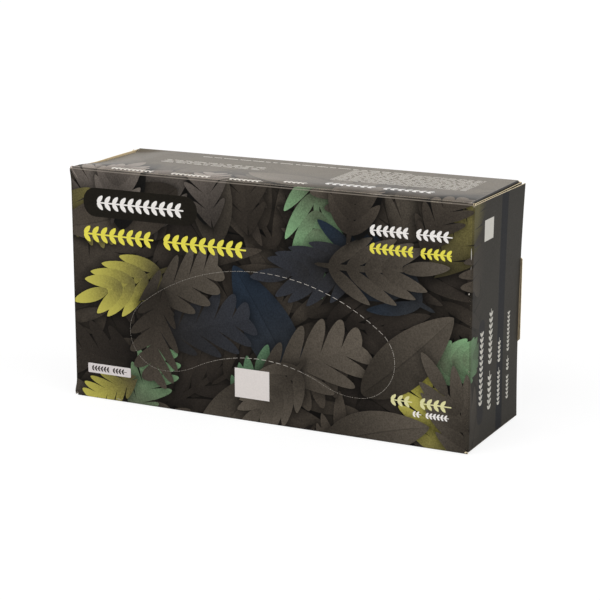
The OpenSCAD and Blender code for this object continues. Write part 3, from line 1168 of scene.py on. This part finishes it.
TAB_LOW, TAB_HIGH, TAB_CHAMFER = 43.3, 91.3, 1.6
back_width = INNER_FACE - FOLD - TRIM
back_low = back_v(TRIM)
side = [
    (back_width, BACK_CREASE - TRIM), (back_width, back_v(TAB_HIGH)),
    (TAB_END - TAB_CHAMFER, back_v(TAB_HIGH)), (TAB_END, back_v(TAB_HIGH - TAB_CHAMFER)),
    (TAB_END, back_v(TAB_LOW + TAB_CHAMFER)), (TAB_END - TAB_CHAMFER, back_v(TAB_LOW)),
    (back_width, back_v(TAB_LOW)), (back_width, back_low),
]
back_area = side + [(-u, v) for u, v in side[::-1]]
printed_panel(
    "back_board", "back_panel", "carton", back_area,
    lambda u, v: settle(girth(u, v), u, v),
    lambda u, v: np.minimum(
        crease_distance(v, (BACK_CREASE, BACK_PANEL, back_low)),
        np.abs(INNER_FACE - FOLD - np.abs(u)),
    ),
    back_art, fade=lambda u, v: 0.25 + 0.75 * ease(v, BACK_PANEL + 8, BACK_PANEL + 60),
    lines=fold_rows(BACK_CREASE), pitch=2.0,
)

# %% Underside
underside_start = GIRTH_START + 0.9
printed_panel(
    "bottom_board", "bottom_panel", "carton",
    box_shape(-top_width, underside_start, top_width, low_end), girth,
    lambda u, v: np.minimum(
        crease_distance(v, (FOLD - ARC, GIRTH_START + 0.6)), DUST_FACE - FOLD - np.abs(u)
    ),
    art, fade=lambda u, v: 0.8 * ease(v, low_end - 34, low_end), pitch=2.4,
)

# %% [markdown]
# ## Flaps
# The outer flap closes each end. The free edge has sprung open a little at the top and the
# bottom, as board does after a tuck.

# %% Outer flaps
FLAP_CREASE = HINGE - HINGE_EDGE
FLAP_ARC = BOARD * QUARTER
FLAP_LEGS = ((FLAP_CREASE, 0), (FLAP_ARC, QUARTER), (FLAP_FREE - (FRONT + BOARD), 0))
FLAP_U = HINGE + FLAP_ARC
FLAP_END = HINGE + FLAP_ARC + FLAP_LEGS[2][0]


def end_u(y):
    """Distance along the sheet of a line down the end panel."""
    return FLAP_U + y - (FRONT + BOARD)


SPRING_LEAST, SPRING_MORE, SPRING_WAIST, SPRING_HALF, SPRING_POWER = 0.25, 1.75, 52, 79, 1.4


def spring(z):
    """How far the free edge stands out past a closed flap: least at its waist, and more as
    the square of the height above or below it."""
    return SPRING_LEAST + SPRING_MORE * ((z - SPRING_WAIST) / SPRING_HALF) ** 2


def flap_place(hand, crush, lift):
    """Place on an outer flap: the walk round the crease, then the flap springs open as
    a power of the distance from the crease. crush swells its lowest corner at the crease,
    and lift raises its top edge away from the crease."""
    def place(u, v):
        flat = walk(np.abs(u) - HINGE_EDGE, (HINGE_EDGE, FRONT), 0.0, FLAP_LEGS)
        out = np.clip((flat[..., 1] - FRONT - BOARD) / (FLAP_FREE - FRONT - BOARD), 0, 1)
        x = flat[..., 0] + spring(v) * (1 + 0.3 * lift) * out**SPRING_POWER
        corner = np.exp(-((v - FLAP_LOW - 2) / 3.6) ** 2) * ease(flat[..., 0], HINGE, HINGE + BOARD)
        x = x + crush * corner * np.exp(-(out * 9) ** 2)
        z = v + lift * ease(out, -0.1, 0.3) * ease(v, 96, FLAP_HIGH)
        z = z - 0.9 * crush * corner * np.exp(-(out * 9) ** 2)
        return settle(np.stack([hand * x, flat[..., 1], z], -1), u, v)
    return place


def flap_edge(u, v):
    """Distance to the three cut edges, or to the crease plus WEAR_ONLY."""
    borders = np.stack([
        np.abs(v - FLAP_LOW), np.abs(v - FLAP_HIGH), np.abs(FLAP_END - np.abs(u)),
        WEAR_ONLY + crease_distance(np.abs(u), (HINGE, FLAP_U)),
    ])
    return borders.min(0)


def flap_fade(u, v):
    """The pattern comes round the crease at a part of its strength and soon fades."""
    return 0.62 - 0.62 * ease(np.abs(u), HINGE + 1, HINGE + 19)


BAND = printed(20, 20, 23)
end_shapes = [plain(box_shape(end_u(2.8), -5, end_u(12), HEIGHT + 5), TOP, BAND)]
right_shapes = art + scuffs_and_highlights + end_shapes + [
    plain(box_shape(end_u(-20.8), 110.2, end_u(-8.2), 121.4), TOP + 1, printed(205, 202, 193)),
    plain(rounded(end_u(-25), 12, end_u(-16.6), 69, 4), TOP, printed(36, 34, 34)),
]
for y, low, high, tall, gap in (
    (-20.6, 22.5, 62.5, 5.4, ()), (-7.6, 17, 72, 5.6, (0.42,)), (6.2, 15.6, 53, 4.2, (0.6,)),
    (19.8, 15.5, 64.5, 3.9, (0.3, 0.52)),
):
    start, stop = (end_u(y), low), (end_u(y), high)
    right_shapes += leaf_row(start, stop, tall, printed(198, 195, 185), TOP + 2, gap)
left_shapes = art + [plain(s["points"] * (-1, 1), s["layer"], s["low"]) for s in end_shapes]
middle = HEIGHT / 2
for hand, label, shapes, crush, lift in (
    (1, "right", right_shapes, 0, 0), (-1, "left", left_shapes, 1.3, 0.3),
):
    near_u, far_u = sorted((hand * HINGE_EDGE, hand * FLAP_END))
    flap = printed_panel(
        f"{label}_outer_board", f"{label}_outer_flap", None,
        box_shape(near_u, FLAP_LOW, far_u, FLAP_HIGH), flap_place(hand, crush, lift),
        # the ground of the ends is painted shade, a darker copy of the plain ink
        flap_edge, shapes, fade=flap_fade, ground=END_INK_SHADED,
        columns=[hand * (HINGE + FLAP_ARC * i / 5) for i in range(6)],
    )
    start = Vector((hand * HINGE_EDGE, FRONT, middle)) * METRES
    end = Vector((hand * (HINGE + BOARD), FRONT + 2 * BOARD, middle)) * METRES
    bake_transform(flap)

# %% [markdown]
# Under the outer flap lies the inner flap, which folds round from the back, and under that the two
# dust flaps, which fold from the top and from the underside. The inner flap is printed dark all
# over, because its edges show round the outer one. On the dust flaps the print only bleeds a little
# past the crease, and the rest is bare coating. This flap print is darker than the plain ink of the
# panels: partly print and partly painted shade, so that the dust fold and the gap between the flap
# edges look shaded.

# %% Inner flaps
COATING = printed(196, 190, 178)
# Darker than the plain ink: print and painted shade for the dust fold and the gap in shadow.
FLAP_INK_AND_SHADE = printed(26, 23, 19)


def flap_ink(w, bleed):
    """Dark print, partly painted shade, up to bleed from the start of the sheet, bare coating
    beyond.
    """
    bare = ease(w, bleed, bleed + 0.3)[..., None]
    return FLAP_INK_AND_SHADE * (1 - bare) + COATING * bare


HANDS = ((1, "right"), (-1, "left"))
FOLD_ROWS = fold_rows(TRIM)
FOLD_END = TRIM + ARC
BARE_PITCH = 3.0


def bare_flap(name, node, area, place, bleed):
    """A flap on a sheet of its own: the first coordinate runs along the crease, and the
    second, w, away from it over the rows of the fold."""
    area = np.array(area, float)
    sheet, faces, _, _ = cut_sheet(area, None, (), FOLD_ROWS, (), BARE_PITCH)
    along, w = sheet.T
    crease = crease_distance(w, (FOLD_ROWS[0], FOLD_ROWS[-1]))
    edge = np.minimum(rim_distance(sheet, area), WEAR_ONLY + crease)
    ink = flap_ink(w, bleed)[faces]
    return board_piece(name, node, "carton", place(along, w), faces, ink, edge[faces])


INNER_LEGS = ((TRIM, 0), (ARC, -QUARTER), (70.1, 0))
INNER_END = sum(leg[0] for leg in INNER_LEGS)
NOTCH = FOLD_END + 2.5
gap_low, gap_high = TAB_LOW - TRIM, TAB_HIGH + TRIM
INNER_HIGH = FLAP_HIGH + 0.4
inner_area = [
    (FLAP_LOW, 0), (gap_low, 0), (gap_low, NOTCH), (gap_high, NOTCH), (gap_high, 0),
    (INNER_HIGH, 0), (INNER_HIGH, INNER_END - 3), (INNER_HIGH - 3, INNER_END),
    (FLAP_LOW + 3, INNER_END), (FLAP_LOW, INNER_END - 3),
]


def inner_place(hand, lean, lift):
    """Round the back corner and forwards. The middle sags in where nothing backs it, and
    the top corner at the back leans out by lean and stands up by lift."""
    def place(z, w):
        flat = walk(w, (INNER_FACE - FOLD - TRIM, BACK), 0.0, INNER_LEGS)
        free = ease(z, 44, 58) * (1 - ease(z, 76, 90)) * ease(w, 4, 14)
        corner = ease(z, 92, 132) * ease(w, TRIM, FOLD_END) * (1 - ease(w, 30, 70))
        x = flat[..., 0] - 0.8 * free + lean * corner
        rise = np.clip(1 - (w / 64) ** 4, 0, 1) * ease(w, 0, 7) * ease(z, 100, INNER_HIGH)
        high = z + lift * rise
        return settle(np.stack([hand * x, flat[..., 1], high], -1), hand * x, 0 * z)
    return place


for (hand, label), lean, lift in zip(HANDS, (0.8, 0.1), (0, 1.9)):
    bare_flap(f"{label}_inner_board", f"{label}_inner_flap", inner_area,
              inner_place(hand, lean, lift), INNER_END + 9)

# %% Dust flaps
DUST_LENGTH, DUST_TAPER = 45.0, 4.0
DUST_LEGS = ((TRIM, 0), (ARC, -QUARTER), (DUST_LENGTH, 0))
dust_end = FOLD_END + DUST_LENGTH
dust_root = BACK - FOLD - 0.5
dust_tip = dust_root - DUST_TAPER
dust_area = [
    (-dust_root, 0), (dust_root, 0), (dust_root, FOLD_END), (dust_tip, dust_end - 3),
    (dust_tip - 3, dust_end), (-dust_tip + 3, dust_end), (-dust_tip, dust_end - 3),
    (-dust_root, FOLD_END),
]


def dust_place(hand, lower):
    """From the top panel over its fold and down inside; the lower one is its mirror."""
    def place(y, w):
        flat = walk(w, (DUST_FACE - FOLD - TRIM, HEIGHT), 0.0, DUST_LEGS)
        z = HEIGHT - flat[..., 1] if lower else flat[..., 1]
        spot = np.stack([hand * flat[..., 0], y, z], -1)
        return settle(spot, hand * flat[..., 0], np.zeros_like(y) if lower else top_v(y))
    return place


for hand, label in HANDS:
    for lower, level in ((False, "top"), (True, "bottom")):
        name = f"{label}_{level}_dust"
        bare_flap(f"{name}_board", f"{name}_flap", dust_area, dust_place(hand, lower),
                  FOLD_END + 7)

# %% [markdown]
# The glued flap closes the tube of the carton. It folds up from the underside inside the
# back panel, where its coated side is stuck down and its kraft side faces the gloves.

# %% Glued flap
SEAM_WIDTH, SEAM_CHAMFER = 14.0, 5.0
SEAM_LEGS = ((TRIM, 0), (ARC, QUARTER), (SEAM_WIDTH - FOLD, 0))
seam_half = DUST_FACE - FOLD - 6
seam_end = FOLD_END + SEAM_WIDTH - FOLD
seam_area = [
    (-seam_half, 0), (seam_half, 0), (seam_half, FOLD_END),
    (seam_half - SEAM_CHAMFER, seam_end), (-seam_half + SEAM_CHAMFER, seam_end),
    (-seam_half, FOLD_END),
]


def seam_place(x, w):
    """From the underside round its fold and up inside the back panel."""
    ring = walk(w, (SEAM_FACE - FOLD - TRIM, 0), 0.0, SEAM_LEGS)
    return np.stack([x, ring[..., 0], ring[..., 1]], -1)


bare_flap("glue_board", "glue_flap", seam_area, seam_place, FOLD_END + 1)

# %% [markdown]
# ## Gloves
# A hundred gloves lie flat behind the tear-out, the fingers of one pointing right and of
# the next left. A flat glove is a thin bag: two walls that meet along the outline and part
# towards the middle. So the distance to the outline gives the plumpness, and a field of
# soft folds, shared by the whole stack, keeps neighbours from cutting through each other.

# %% Outline of a glove
glove_low, glove_high = extent("front_glove")
GLOVE_LENGTH = glove_high[0] - glove_low[0]
GLOVE_HEIGHT = glove_high[2] - glove_low[2]
GLOVE_FOOT = glove_low[2]
PALM, CUFF, FINGER_GAP, FINGER, THUMB = 92, 96, 2.4, 82, 22
finger_pitch = (PALM + FINGER_GAP) / 4
finger_radius = (finger_pitch - FINGER_GAP) / 2
knuckle = GLOVE_LENGTH - FINGER
thumb_tip = np.array([GLOVE_LENGTH - 62 - THUMB / 2, GLOVE_HEIGHT - THUMB / 2])
THUMB_TILT = math.radians(28)


def half_round(centre, radius, middle, steps):
    """Half a circle of points, a quarter turn to each side of the angle middle."""
    angle = np.linspace(middle - QUARTER, middle + QUARTER, steps)
    return np.array(centre) + radius * np.stack([np.cos(angle), np.sin(angle)], 1)


def glove_outline(steps):
    """Cuff at 0, little finger lowest, thumb on top; round webs between the fingers."""
    parts = [np.array([[0.0, 0.0]])]
    for number, short in enumerate((20, 6, 0, 7)):
        middle = finger_pitch * number + finger_radius
        tip = (GLOVE_LENGTH - short - finger_radius, middle)
        parts.append(half_round(tip, finger_radius, 0, steps))
        if number < 3:
            web = (knuckle, middle + finger_radius + FINGER_GAP / 2)
            parts.append(half_round(web, FINGER_GAP / 2, math.pi, 5)[::-1])
    parts.append(np.array([[knuckle - 8, PALM]]))
    parts.append(half_round(thumb_tip, THUMB / 2, THUMB_TILT, steps))
    parts.append(np.array([[knuckle - 74, (PALM + CUFF) / 2], [0, CUFF]]))
    return np.concatenate(parts)


print("a glove lies", round(GLOVE_LENGTH, 1), "mm long and", round(GLOVE_HEIGHT, 1), "mm high")

# %% A flat bag
def flat_bag(pitch, steps):
    """Flat coordinates, faces and rim distance of a closed two-walled outline."""
    outline = fill_in(glove_outline(steps), pitch * 1.2)
    sheet, faces, _, _ = cut_sheet(outline, None, (), (), (), pitch)
    rim = rim_distance(sheet, outline)
    inner = np.flatnonzero(rim > 1e-3)
    other = np.arange(len(sheet))
    other[inner] = len(sheet) + np.arange(len(inner))
    both = np.concatenate([sheet, sheet[inner]])
    wall = np.concatenate([np.ones(len(sheet)), -np.ones(len(inner))])
    wall[: len(sheet)][rim <= 1e-3] = 0
    return both, np.concatenate([faces, other[faces][:, ::-1]]), np.append(rim, rim[inner]), wall


print("the coarsest glove has", len(flat_bag(7.0, 5)[0]), "points")

# %% Folds of the stack
RIDGES = (
    (0.35, 46, 0.4, 0.42), (1.15, 61, 2.1, 0.30), (-0.55, 33, 4.0, 0.24),
    (2.05, 27, 1.3, 0.16), (0.95, 17, 5.2, 0.08),
)
GLOVE_SHEET = 0.16
PUSH, PUSH_DEPTH = 2.6, 9
FRONT_SWELL, BAG_ROUND = 2.4, 2.2


def folds(x, z):
    """Soft folds from 0 to about 1: each ridge is one minus a sine's size, to the power
    1.6, across a line at an angle with some pitch, phase and weight, and it wanders."""
    total = np.zeros_like(x)
    for angle, pitch, phase, weight in RIDGES:
        wander = 5 * np.sin(x / 23 + phase) + 4 * np.sin(z / 19 - phase)
        run = (x * math.cos(angle) + z * math.sin(angle) + wander) / pitch
        total += weight * (1 - np.abs(np.sin(math.pi * run + phase))) ** 1.6
    return total


def glove_piece(name, node, first, last, pitch, steps, plump):
    """Some gloves of the stack as one mesh. Each is pushed forward by the shared folds,
    the less the deeper it lies, and swells as 1 - exp(-distance to its rim)."""
    flat, faces, rim, wall = flat_bag(pitch, steps)
    low, high = extent(node)
    room = high[1] - low[1] - GLOVE_SHEET
    all_points, all_faces = [], []
    for number in range(first, last + 1):
        share = (number - first) / max(1, last - first)
        level = low[1] + GLOVE_SHEET / 2 + share * room
        hand = -1 if number % 2 else 1
        x = hand * (flat[:, 0] - GLOVE_LENGTH / 2)
        z = flat[:, 1] + GLOVE_FOOT
        push = PUSH * math.exp(-(number - 1) / PUSH_DEPTH)
        swell = plump * (1 - np.exp(-rim / BAG_ROUND))
        front = swell * (FRONT_SWELL if number == 1 else 1.0)
        y = level - np.where(wall > 0, front, 0) + np.where(wall < 0, swell, 0)
        y = y - push * folds(x, z)
        all_points.append(np.stack([x, y, z], 1))
        all_faces.append(faces[:, ::hand] + len(flat) * (number - first))
    mesh = smooth_mesh(name, np.concatenate(all_points), np.concatenate(all_faces))
    return add_piece(name, node, "carton", mesh)


# %% The stack
glove_piece("first_glove", "front_glove", 1, 1, 1.8, 13, 0.28)
glove_piece("gloves_next", "gloves_2_to_10", 2, 10, 3.4, 9, 0.22)
for first in range(11, 100, 10):
    last = first + 9
    name = f"gloves_{first}_to_{last}"
    glove_piece(f"stack_{first}_to_{last}", name, first, last, 7.0, 5, 0.18)

# %% [markdown]
# ## Finishes
# The print is dull ink under a thin satin varnish. Close up it has grain, a few pale specks of
# dust, and cream board showing through where creases and edges rub. Close to the top and back folds
# and the cut edges, a painted highlight, partly wear, lightens the print.

# %% Printed board
board = Finish("printed_board")
ink = board.attribute("ink", 0)
edge = board.attribute("edge")
grain = board.noise(1250, 3, 0.75)
cloud = board.noise(60, 3, 0.6)
rub = board.noise(700, 4, 0.65)
patch = board.noise(38, 2, 0.5)
speck = board.noise(1500, 1, 0.4)
stops = ((0.30, (0.64, 0.64, 0.64, 1)), (0.70, (1.36, 1.36, 1.36, 1)))
coarse = board.node("ValToRGB", {"stops": stops}, {0: grain * 0.85 + cloud * 0.15})
dark = 1 - board.step(board.node("RGBToBW", {}, {0: ink}), 0.15, 0.45) * 0.85
mottle = board.mix(dark, ink, coarse, "MULTIPLY")
# Painted highlight, partly wear: a pale line close to the top and back folds and the cut edges, for
# the light that a rounded fold catches.
crease_highlight_and_wear = (1 - board.step(edge, 0.05, 0.42)) * 0.46
rubbed = board.step(rub + board.step(patch, 0.4, 0.75) * 0.22 - edge * 0.9, 0.60, 0.74) * 0.7
dust = board.step(speck, 0.81, 0.86) * 0.4
shown = board.mix(crease_highlight_and_wear, mottle, linear(168, 158, 146))
shown = board.mix(rubbed, shown, linear(196, 184, 158))
shown = board.mix(dust, shown, linear(150, 144, 136))
fibre = board.noise(900, 4, 0.6)
relief = board.relief(0.10, fibre)
dull = (1 - board.attribute("ink", 3)) * 0.5
board.set(Base_Color=shown, Roughness=0.34 + fibre * 0.12 + dull, Normal=relief)
board.set(Specular_IOR_Level=0.055)
print("printed board has", len(board.tree.nodes), "nodes")

# %% Kraft side and cut edge
kraft = Finish("kraft_board")
flecks = kraft.noise(1400, 3, 0.7, (1.0, 1.0, 0.35))
clouds = kraft.noise(90, 3, 0.6)
# Painted light: near cut edges the kraft side is mixed towards a golden cream, for the light that
# falls into the edge of a flap.
painted_edge_light = (1 - kraft.step(kraft.attribute("edge"), 0.8, 3.0)) * 0.8
tone = kraft.mix(kraft.step(flecks, 0.30, 0.72), linear(108, 97, 79), linear(160, 147, 122))
tone = kraft.mix(kraft.step(clouds, 0.3, 0.7) * 0.35, tone, linear(128, 116, 98))
tone = kraft.mix(painted_edge_light, tone, linear(238, 214, 170))
relief = kraft.relief(0.25, flecks)
kraft.set(Base_Color=tone, Roughness=0.85, Normal=relief, Specular_IOR_Level=0.25)

cut = Finish("cut_edge")
layers = cut.noise(2200, 2, 0.6)
tone = cut.mix(cut.step(layers, 0.3, 0.7), linear(238, 214, 166), linear(252, 240, 208))
cut.set(Base_Color=tone, Roughness=0.9, Specular_IOR_Level=0.2)
print("kraft board has", len(kraft.tree.nodes), "nodes, the cut edge", len(cut.tree.nodes))

# %% Nitrile
nitrile = Finish("black_nitrile")
haze = nitrile.noise(70, 3, 0.6)
pores = nitrile.noise(2400, 2, 0.5)
tone = nitrile.mix(haze, linear(24, 24, 26), linear(38, 38, 41))
relief = nitrile.relief(0.15, pores)
nitrile.set(Base_Color=tone, Roughness=0.40 + haze * 0.15, Normal=relief)

for name, piece in pieces.items():
    if "board" in name:
        for finish in (board, kraft, cut):
            piece.data.materials.append(finish.material)
    else:
        piece.data.materials.append(nitrile.material)
print(len(pieces), "pieces with", len(bpy.data.materials), "finishes")

# %% [markdown]
# ## Floor and light
# A plain pale floor keeps the shadow of the carton; the camera sees it with a glow mixed
# in, which whitens it and lights nothing. The backdrop is white to the camera and to
# reflections, and only about a third as bright as a source of even light. Three soft lamps
# give the modelling. A bright backdrop alone would light a carton from all round, and its
# faces would hardly differ.

# %% Floor and backdrop
def seen_directly(finish):
    """1 for rays that carry a picture of the place: camera, glossy and transmission."""
    path = [finish.node("LightPath", output=number) for number in (0, 3, 6)]
    return finish.maths("MAXIMUM", finish.maths("MAXIMUM", path[0], path[1]), path[2])


FLOOR_REACH, FLOOR_DROP = 6.0, 0.0003
floor_mesh = bpy.data.meshes.new("floor")
corners = box_shape(-FLOOR_REACH, -FLOOR_REACH, FLOOR_REACH, FLOOR_REACH).tolist()
floor_mesh.from_pydata([(x, y, -FLOOR_DROP) for x, y in corners], [], [(0, 1, 2, 3)])
floor = place_object("floor", floor_mesh)
ground = Finish("floor")
ground.set(Base_Color=linear(232, 232, 232), Roughness=0.9, Specular_IOR_Level=0.0)
glow = ground.node("Emission", {}, {"Strength": 1.18})
factor = ground.node("LightPath") * 0.70
mixed = ground.node("MixShader", {}, {0: factor, 1: ground.lit, 2: glow})
ground.give(ground.output.inputs[0], mixed)
floor_mesh.materials.append(ground.material)
print("the floor is", 2 * FLOOR_REACH, "m wide and lies", FLOOR_DROP, "m below the carton")

# %% World
class Sky(Finish):
    """The world's own nodes, written in the same way."""

    def __init__(self, name):
        self.world = bpy.data.worlds.new(name)
        self.world.use_nodes = True
        self.tree = self.world.node_tree
        self.shader = self.tree.nodes["Background"]


AMBIENT = 0.35
sky = Sky("studio")
sky.set(Color=(1, 1, 1, 1), Strength=seen_directly(sky) * (1 - AMBIENT) + AMBIENT)
bpy.context.scene.world = sky.world
print("the backdrop lights everything with strength", AMBIENT)

# %% Lamps
def lamp(name, way, strength, softness):
    """Distant soft lamp that shines along a direction, so that it lights evenly."""
    light = bpy.data.lights.new(name, "SUN")
    light.energy = strength * math.pi
    light.angle = math.radians(softness)
    turned = Vector(way).to_track_quat("-Z", "Y").to_matrix().to_4x4()
    place_object(name, light).matrix_world = Matrix.Translation((0, 0, 1)) @ turned
    print(name, strength)


lamp("key", (0.35, 0.85, -0.75), 0.45, 50)
lamp("fill", (-0.90, 0.25, -0.50), 0.40, 60)
lamp("back", (0.25, -0.90, -0.35), 0.15, 60)

# %% [markdown]
# ## Finish
# The view settings stay plain, so a colour renders about as it is written.

# %% Finish
bpy.context.scene.view_settings.view_transform = "Standard"
